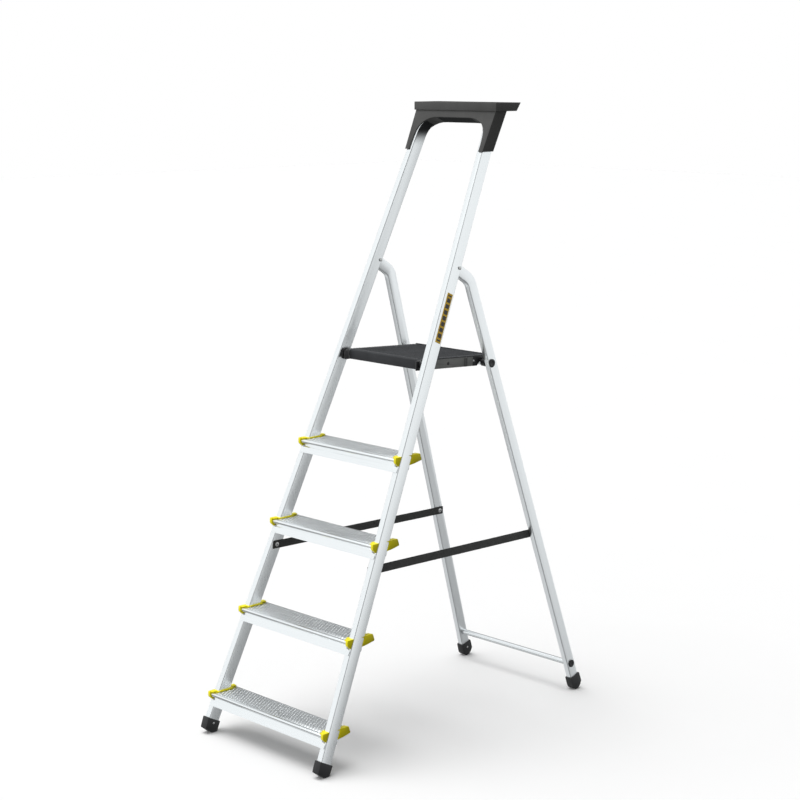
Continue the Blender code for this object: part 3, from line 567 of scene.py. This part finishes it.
def feet():
    for side, tag in SIDES:
        front, rear = stile_frame(side, BOOT_RIVET_Z), leg_frame(side, BOOT_RIVET_Z)
        finer(f"front_foot_{tag}", RUBBER, "front_frame", width=0.0008)
        finer(f"rear_foot_{tag}", RUBBER, "rear_frame", width=0.0008)
        for which, m, wide in (("front", front, STILE_W + FRONT_BOOT), ("rear", rear, LEG_W + REAR_BOOT)):
            blind_rivet(f"{which}_foot_rivet_{tag}_shown",
                        m @ Vector((-side * (wide / 2 + BOOT_CLEAR), 0, 0)),
                        m.to_3x3() @ Vector((-side, 0, 0)), radius=0.0032, height=0.0013, mat=STEEL,
                        body=f"{which}_frame", node=f"{which}_foot_rivet_{tag}")


def plug(node, side):
    """A black plug with a dished end, in the space of its CAD node."""
    low, high = (Vector(corner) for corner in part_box(node))
    size = high - low
    turned(f"{node}_shown", scaled(PLUG_OUTLINE, size.z / 2, size.x / 2),
           facing((low + high) / 2, Vector((side, 0, 0))), BLACK, "rear_frame", (node,))


def small_fittings():
    for side, tag in SIDES:
        finer(f"platform_bracket_{tag}", BLACK, "front_frame", width=0.0007)
        finer(f"platform_pin_{tag}", BLACK, "front_frame", width=0.0003, segments=1)
        finer(f"pivot_bolt_{tag}", STEEL, "front_frame")
        plug(f"rod_plug_{tag}", side)
        plug(f"crossbar_plug_{tag}", side)
    finer("platform_rod", BAR, "rear_frame")
    finer("lower_crossbar", BAR, "rear_frame")
    finer("label_right", LABEL, "front_frame", width=0.00008, segments=1)


def tray():
    finer("tool_tray", TRAY, "front_frame", width=0.0013, segments=3, angle=28.0)


# ---------------------------------------------------------------- platform
def deck_studs(m):
    """Two columns of round studs along each side of the deck and a row along its front."""
    bm = bmesh.new()
    y0 = DECK_FRONT + STUD_INSET
    for side, _ in SIDES:
        for column, x in enumerate(STUD_COLUMNS):
            for row in range(STUD_ROWS):
                stud(bm, m, side * x, y0 + (row + 0.5 * column) * STUD_PITCH)
    for column in range(STUD_ROWS):
        stud(bm, m, (column - STUD_ROWS // 2) * STUD_PITCH, y0)
    return link("deck_studs", to_mesh(bm, "deck_studs", 60.0, tidy=False), STUD, "platform")


def deck_ribs(m):
    """Rows of raised ribs over the middle of the deck, every other row set sideways."""
    bm = bmesh.new()
    y, row = DECK_FRONT + DECK_RIB_FIRST, 0
    while y < DECK_REAR - DECK_RIB_END:
        x = -DECK_RIB_HALF + DECK_RIB_STAGGER * (row % 2)
        while x < DECK_RIB_HALF - DECK_RIB_SHORTEST:
            right = min(x + DECK_RIB_LONG, DECK_RIB_HALF)
            tooth(bm, (x + right) / 2, y, DECK_TOP, right - x,
                  DECK_RIB_WIDE, DECK_RIB_TALL, DECK_RIB_SLOPE)
            x += DECK_RIB_STEP
        y += DECK_RIB_PITCH
        row += 1
    bmesh.ops.transform(bm, verts=bm.verts, matrix=m)
    return link("deck_ribs", to_mesh(bm, "deck_ribs", 20.0, tidy=False), DECK, "platform")


def button(name, m, side, place, r, mat):
    """A low rivet head of radius r on the platform's side, at the place in the frame m."""
    outline = [(0, -0.0006), (r * 0.9, -0.0006), (r, 0.0002), (r * 0.8, 0.0008), (r * 0.45, 0.0010),
               (0, 0.0007)]
    x, y, z = place
    out = m.to_3x3() @ Vector((side, 0, 0))
    turned(name, outline, facing(m @ Vector((side * x, y, z)), out), mat, "platform", count=20)


def rod_sleeve(side, tag):
    """A short black sleeve on the rod, beside the leg."""
    outline = [(SLEEVE_BORE, SLEEVE_IN), (SLEEVE_R, SLEEVE_IN), (SLEEVE_R, SLEEVE_OUT),
               (SLEEVE_BORE, SLEEVE_OUT), (SLEEVE_BORE, SLEEVE_IN)]
    turned(f"rod_sleeve_{tag}", outline, facing(ROD, Vector((side, 0, 0))), BLACK, "rear_frame")


def platform():
    m = deck_frame()
    deck = finer("platform_deck", DECK, "platform", width=0.0007)
    studs = deck_studs(m)
    rounded_block("deck_rear_rim", m, size=(0.2900, 0.0060, 0.0034),
                  centre=(0.0, DECK_REAR + 0.0016, 0.0132), mat=DECK, width=0.0011)
    ribs = deck_ribs(m)
    for piece in (deck, studs, ribs):
        piece.visible_glossy = False  # the legs' metal shows no dark image of the deck
    for side, tag in SIDES:
        finer(f"side_plate_{tag}", PLATE, "platform", width=0.0004)
        finer(f"platform_hook_{tag}", BLACK, "platform", width=0.0007)
        rounded_block(f"plate_ear_{tag}", m, size=(0.0044, 0.0150, 0.0266),
                      centre=(side * 0.1437, -0.0090, -0.0034), mat=BLACK,
                      width=0.0012)
        rounded_block(f"plate_end_{tag}", m, size=(0.0010, 0.0135, 0.0240),
                      centre=(side * 0.1458, 0.1770, -0.0045), mat=PLATE_END,
                      width=0.0003)
        # The plate's rivet head is coloured black as painted shade, standing for the dark of a recessed
        # hole.
        button(f"plate_rivet_painted_hole_shade_{tag}", m, side, (0.1453, 0.1080, -0.0035), 0.0046, BLACK)
        button(f"hook_rivet_{tag}", m, side, (0.1461, 0.2090, -0.0014), 0.0025, SHINY)
        rod_sleeve(side, tag)


# ---------------------------------------------------------------- straps
def strap_section():
    """Points round the strap's cross-section. Its lower edge is round, and its upper edge is a lip
    with a shallow groove below it on one side."""
    r, half = STRAP_THICK / 2, (STRAP_WIDE - STRAP_THICK) / 2

    def arc(start, height):
        turn = [start - pi * k / 6 for k in range(7)]
        return [(r * cos(a), height + r * sin(a)) for a in turn]

    def flat(x, rise):
        return [(x, rise * half * (k / 4 - 1)) for k in range(1, 8)]

    return arc(pi / 2, half) + flat(r, -1) + arc(0.0, -half) + flat(-r, 1)


def strap_mesh(tag, place, length):
    """The strap's closed sheet along the place frame's Y, with a slight waver out of its plane."""
    steps = 134
    section = strap_section()
    bm = bmesh.new()
    rings = []
    for i in range(steps + 1):
        t = -length / 2 + length * i / steps
        pinch = 0.988 if i in (0, steps) else 1.0
        wave = 0.00018 * sin(t * 61.0) + 0.00012 * sin(t * 143.0 + 1.1)
        rings.append([bm.verts.new(place @ Vector((x + wave, t, h * pinch))) for x, h in section])
    for a, b in zip(rings, rings[1:]):
        join_rings(bm, a, b)
    bm.faces.new(rings[0])
    bm.faces.new(rings[-1][::-1])
    return to_mesh(bm, f"strap_{tag}", 50.0)


def strap_rivet(end, side, tag, point, where, body):
    """A rivet head on the strap, with a near-black disc in its hole as painted shade. Returns the head.
    """
    axis = where.to_3x3() @ Vector((-side, 0, 0))
    seat = point + axis * (STRAP_THICK / 2 + GAP)
    head = blind_rivet(f"strap_rivet_{end}_{tag}_shown", seat, axis, radius=0.0065, height=0.0018,
                       mat=STEEL, body=body, node=f"strap_rivet_{end}_{tag}")
    # A near-black disc sits in the rivet's hole as painted shade.
    outline = [(0, 0.0007), (0.0021, 0.0007), (0.0021, 0.0010), (0.0010, 0.0011), (0, 0.0011)]
    turned(f"strap_rivet_core_{end}_{tag}", outline, facing(seat, axis), RIVET_HOLE_SHADE, body,
           count=16)
    return head


def straps():
    for side, tag in SIDES:
        stile, leg = stile_frame(side, STRAP_Z_FRONT), leg_frame(side, STRAP_Z_REAR)
        off = GAP + STRAP_CAD_THICK / 2
        front = stile @ Vector((-side * (STILE_W / 2 + off), 0.0, 0))
        rear = leg @ Vector((-side * (LEG_W / 2 + off), 0.0, 0))
        run = (rear - front).normalized()
        up = Vector((-side * STRAP_TAPER, 0, 1.0))
        up = (up - run * up.dot(run)).normalized()
        length = (rear - front).length + STRAP_PAST_RIVETS
        place = basis(run.cross(up), run, up, (front + rear) / 2)
        strap = link(f"strap_{tag}_shown", strap_mesh(tag, place, length), WEB, None,
                     (f"strap_{tag}",))
        heads = [strap_rivet("front", side, tag, front, stile, "front_frame"),
                 strap_rivet("rear", side, tag, rear, leg, "rear_frame")]
        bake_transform(strap)


# ---------------------------------------------------------------- stage, light, camera
def stage():
    """A pale floor, which the metal doesn't mirror and which adds no light of its own."""
    bm = bmesh.new()
    bmesh.ops.create_grid(bm, x_segments=2, y_segments=2, size=24.0)
    mesh = bpy.data.meshes.new("floor")
    bm.to_mesh(mesh)
    bm.free()
    n = Material("floor_paper")
    paper = n.mix(n.span(n.noise(3.0), 0.3, 0.7, 0.0, 1.0), (0.874, 0.874, 0.874), (0.880, 0.880, 0.880))
    mesh.materials.append(n.done(paper, 0.95))
    floor = bpy.data.objects.new("floor", mesh)
    bpy.context.scene.collection.objects.link(floor)
    floor.location = (0, 0, -0.0002)
    floor.visible_glossy = False
    floor.visible_diffuse = False


def overhead_light():
    """A wide soft light from above, slightly from the front left."""
    data = bpy.data.lights.new("overhead", "SUN")
    data.angle = radians(46)
    data.energy = 1.80
    lamp = bpy.data.objects.new("overhead", data)
    bpy.context.scene.collection.objects.link(lamp)
    lamp.location = (-0.6, -0.5, 4.0)
    lamp.rotation_euler = (-lamp.location).to_track_quat("-Z", "Y").to_euler()


def reflected(n, x, y, z):
    """What the metal mirrors: bright sides at the front left and back right, with dark between."""
    diagonal, across = n.math("ADD", x, y), n.math("SUBTRACT", x, y)
    sides = n.span(n.math("ABSOLUTE", diagonal), 0.20, 0.95, 0.46, 1.04, True)
    # Below the horizon each bright side falls off at its own height.
    behind = n.span(z, -0.34, -0.10, 0.31, 0.97, True)
    before = n.math("MAXIMUM", n.span(z, -0.34, -0.23, 0.24, 1.0, True),
                    n.span(z, -0.52, -0.41, 0.72, 0.0, True))
    turn = n.span(diagonal, -0.5, 0.5, 0.0, 1.0, True)
    low = n.math("ADD", n.math("MULTIPLY", behind, turn),
                 n.math("MULTIPLY", before, n.math("SUBTRACT", 1.0, turn)))
    # The right front corner of the room is dark, and the ceiling is bright.
    corner = n.span(n.weighted((across, 0.66), (z, 0.36)), 0.80, 0.96, 1.0, 0.35, True)
    walls = n.math("MULTIPLY", n.math("MULTIPLY", sides, low), corner)
    return n.math("ADD", walls, n.span(z, 0.5, 0.95, 0.0, 0.45, True))


def sky():
    """White behind the object, soft light from the front left, and a studio in the reflections."""
    world = bpy.data.worlds.new("studio")
    bpy.context.scene.world = world
    world.use_nodes = True
    n = Nodes(world.node_tree)
    x, y, z = n.axes(n.add("ShaderNodeTexCoord").outputs["Generated"])
    glossy = reflected(n, x, y, z)
    soft = n.span(n.weighted((x, -0.50), (y, -0.72), (z, 0.25)), -0.60, 0.80, 0.04, 1.03)
    paths = n.add("ShaderNodeLightPath").outputs
    strength = n.choose(paths["Is Camera Ray"], n.choose(paths["Is Glossy Ray"], soft, glossy), 1.0)
    tint = n.mix(paths["Is Glossy Ray"], (1.0, 1.0, 1.0), (0.965, 0.99, 1.0))
    background = n.tree.nodes["Background"]
    n.put(background.inputs["Color"], tint)
    n.put(background.inputs["Strength"], strength)


def camera():
    """From the front right, a little above the tray, looking slightly down."""
    data = bpy.data.cameras.new("view")
    data.sensor_width, data.lens = 36.0, 83.3
    data.clip_start, data.clip_end = 0.05, 60.0
    view = bpy.data.objects.new("view", data)
    bpy.context.scene.collection.objects.link(view)
    view.location = (3.7018, -3.0253 - Y_SHIFT, 1.8266)
    view.rotation_euler = (radians(79.92), 0.0, radians(46.06))
    bpy.context.scene.camera = view


tubes()
treads()
feet()
small_fittings()
tray()
platform()
straps()
stage()
sky()
overhead_light()
camera()
bpy.context.scene.view_settings.view_transform = "Standard"
